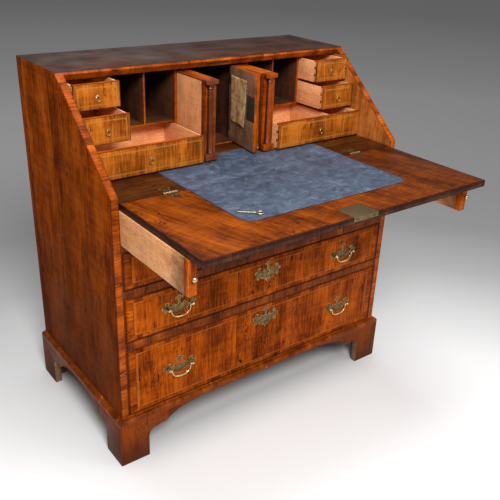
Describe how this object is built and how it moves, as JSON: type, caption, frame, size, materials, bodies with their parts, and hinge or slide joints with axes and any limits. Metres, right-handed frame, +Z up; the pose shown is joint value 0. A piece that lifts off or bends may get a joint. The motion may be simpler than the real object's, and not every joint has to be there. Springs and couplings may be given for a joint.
{
  "type": "fall-front bureau",
  "caption": "Walnut fall-front bureau with graduated long drawers below, a sloping fall lying open on two lopers and a fitted interior.",
  "frame": {"origin": "on the floor, under the middle of the whole object's bounding box with the fall open", "axes": "+X to the right of someone facing the front, +Y from the front to the back, +Z up"},
  "size_m": [0.956, 0.855, 0.99],
  "materials": {
    "walnut": "waxed old polish",
    "oak": "dry, unpolished",
    "brass": "aged, softly polished",
    "leather": "worn blue hide, satin",
    "steel": "dull"
  },
  "bodies": {
    "carcase": {"left_side": "walnut", "right_side": "walnut", "top_board": "walnut", "bottom_board": "oak", "back_boards": "oak", "drawer_rails": "walnut", "drawer_runners": "oak", "dust_boards": "oak", "loper_dividers": "walnut", "writing_bed": "walnut", "bed_leather": "leather", "bed_hinge_leaves": "brass", "lock_strike": "brass", "base_moulding": "walnut", "front_left_foot": "walnut", "front_right_foot": "walnut", "rear_left_foot": "walnut", "rear_right_foot": "walnut", "foot_blocks": "oak", "fittings_case": "walnut", "fittings_uprights": "walnut", "fittings_shelves": "walnut"},
    "fall": {"fall_board": "walnut", "fall_leather": "leather", "fall_lock": "brass", "fall_hinge_leaves": "brass", "key": "steel"},
    "left_loper": {"left_loper": "walnut", "left_loper_knob": "brass"},
    "right_loper": {"right_loper": "walnut", "right_loper_knob": "brass"},
    "bottom_drawer": {"bottom_drawer": "walnut", "bottom_brasses": "brass"},
    "bottom_bails": {"bottom_bails": "brass"},
    "third_drawer": {"third_drawer": "walnut", "third_brasses": "brass"},
    "third_bails": {"third_bails": "brass"},
    "second_drawer": {"second_drawer": "walnut", "second_brasses": "brass"},
    "second_bails": {"second_bails": "brass"},
    "top_drawer": {"top_drawer": "walnut", "top_brasses": "brass"},
    "top_bails": {"top_bails": "brass"},
    "left_wide_drawer": {"left_wide_drawer": "walnut"},
    "left_wide_ring": {"left_wide_ring": "brass"},
    "right_wide_drawer": {"right_wide_drawer": "walnut"},
    "right_wide_ring": {"right_wide_ring": "brass"},
    "left_lower_drawer": {"left_lower_drawer": "walnut"},
    "left_lower_ring": {"left_lower_ring": "brass"},
    "right_lower_drawer": {"right_lower_drawer": "walnut"},
    "right_lower_ring": {"right_lower_ring": "brass"},
    "left_upper_drawer": {"left_upper_drawer": "walnut"},
    "left_upper_ring": {"left_upper_ring": "brass"},
    "right_upper_drawer": {"right_upper_drawer": "walnut"},
    "right_upper_ring": {"right_upper_ring": "brass"},
    "left_slide": {"left_slide": "walnut"},
    "right_slide": {"right_slide": "walnut"},
    "cupboard_door": {"cupboard_door": "walnut", "door_fittings": "brass"},
    "door_ring": {"door_ring": "brass"}
  },
  "joints": [
    {"name": "fall_hinge", "type": "hinge", "parent": "carcase", "child": "fall", "pos_m": [0, -0.08152, 0.743], "axis": [1, 0, 0], "range_deg": [-118, 0]},
    {"name": "left_loper_slide", "type": "slide", "parent": "carcase", "child": "left_loper", "axis": [0, -1, 0], "range_m": [-0.2875, 0.02]},
    {"name": "right_loper_slide", "type": "slide", "parent": "carcase", "child": "right_loper", "axis": [0, -1, 0], "range_m": [-0.2875, 0.02]},
    {"name": "bottom_drawer_slide", "type": "slide", "parent": "carcase", "child": "bottom_drawer", "axis": [0, -1, 0], "range_m": [0, 0.33]},
    {"name": "bottom_bail_hinge", "type": "hinge", "parent": "bottom_drawer", "child": "bottom_bails", "pos_m": [0, -0.1005, 0.2475], "axis": [-1, 0, 0], "range_deg": [0, 85]},
    {"name": "third_drawer_slide", "type": "slide", "parent": "carcase", "child": "third_drawer", "axis": [0, -1, 0], "range_m": [0, 0.33]},
    {"name": "third_bail_hinge", "type": "hinge", "parent": "third_drawer", "child": "third_bails", "pos_m": [0, -0.1005, 0.4335], "axis": [-1, 0, 0], "range_deg": [0, 85]},
    {"name": "second_drawer_slide", "type": "slide", "parent": "carcase", "child": "second_drawer", "axis": [0, -1, 0], "range_m": [0, 0.33]},
    {"name": "second_bail_hinge", "type": "hinge", "parent": "second_drawer", "child": "second_bails", "pos_m": [0, -0.1005, 0.57025], "axis": [-1, 0, 0], "range_deg": [0, 85]},
    {"name": "top_drawer_slide", "type": "slide", "parent": "carcase", "child": "top_drawer", "axis": [0, -1, 0], "range_m": [0, 0.33]},
    {"name": "top_bail_hinge", "type": "hinge", "parent": "top_drawer", "child": "top_bails", "pos_m": [0, -0.1005, 0.68375], "axis": [-1, 0, 0], "range_deg": [0, 85]},
    {"name": "left_wide_drawer_slide", "type": "slide", "parent": "carcase", "child": "left_wide_drawer", "axis": [0, -1, 0], "range_m": [-0.149, 0.026]},
    {"name": "left_wide_ring_hinge", "type": "hinge", "parent": "left_wide_drawer", "child": "left_wide_ring", "pos_m": [-0.28135, 0.0464, 0.7845], "axis": [-1, 0, 0], "range_deg": [0, 85]},
    {"name": "right_wide_drawer_slide", "type": "slide", "parent": "carcase", "child": "right_wide_drawer", "axis": [0, -1, 0], "range_m": [-0.156, 0.019]},
    {"name": "right_wide_ring_hinge", "type": "hinge", "parent": "right_wide_drawer", "child": "right_wide_ring", "pos_m": [0.28135, 0.0394, 0.7845], "axis": [-1, 0, 0], "range_deg": [0, 85]},
    {"name": "left_lower_drawer_slide", "type": "slide", "parent": "carcase", "child": "left_lower_drawer", "axis": [0, -1, 0], "range_m": [-0.114, 0.061]},
    {"name": "left_lower_ring_hinge", "type": "hinge", "parent": "left_lower_drawer", "child": "left_lower_ring", "pos_m": [-0.3785, 0.0814, 0.8623], "axis": [-1, 0, 0], "range_deg": [0, 85]},
    {"name": "right_lower_drawer_slide", "type": "slide", "parent": "carcase", "child": "right_lower_drawer", "axis": [0, -1, 0], "range_m": [-0.117, 0.058]},
    {"name": "right_lower_ring_hinge", "type": "hinge", "parent": "right_lower_drawer", "child": "right_lower_ring", "pos_m": [0.3785, 0.0784, 0.8623], "axis": [-1, 0, 0], "range_deg": [0, 85]},
    {"name": "left_upper_drawer_slide", "type": "slide", "parent": "carcase", "child": "left_upper_drawer", "axis": [0, -1, 0], "range_m": [-0.067, 0.108]},
    {"name": "left_upper_ring_hinge", "type": "hinge", "parent": "left_upper_drawer", "child": "left_upper_ring", "pos_m": [-0.3785, 0.1284, 0.93405], "axis": [-1, 0, 0], "range_deg": [0, 85]},
    {"name": "right_upper_drawer_slide", "type": "slide", "parent": "carcase", "child": "right_upper_drawer", "axis": [0, -1, 0], "range_m": [-0.081, 0.094]},
    {"name": "right_upper_ring_hinge", "type": "hinge", "parent": "right_upper_drawer", "child": "right_upper_ring", "pos_m": [0.3785, 0.1144, 0.93405], "axis": [-1, 0, 0], "range_deg": [0, 85]},
    {"name": "left_slide_slide", "type": "slide", "parent": "carcase", "child": "left_slide", "axis": [0, -1, 0], "range_m": [-0.143, 0.032]},
    {"name": "right_slide_slide", "type": "slide", "parent": "carcase", "child": "right_slide", "axis": [0, -1, 0], "range_m": [-0.149, 0.026]},
    {"name": "cupboard_door_hinge", "type": "hinge", "parent": "carcase", "child": "cupboard_door", "pos_m": [0.075, 0.1992, 0.85], "axis": [0, 0, 1], "range_deg": [-82.5, 0]},
    {"name": "door_ring_hinge", "type": "hinge", "parent": "cupboard_door", "child": "door_ring", "pos_m": [0.06262, 0.07374, 0.8648], "axis": [-0.1305, -0.9914, 0], "range_deg": [0, 68]}
  ]
}
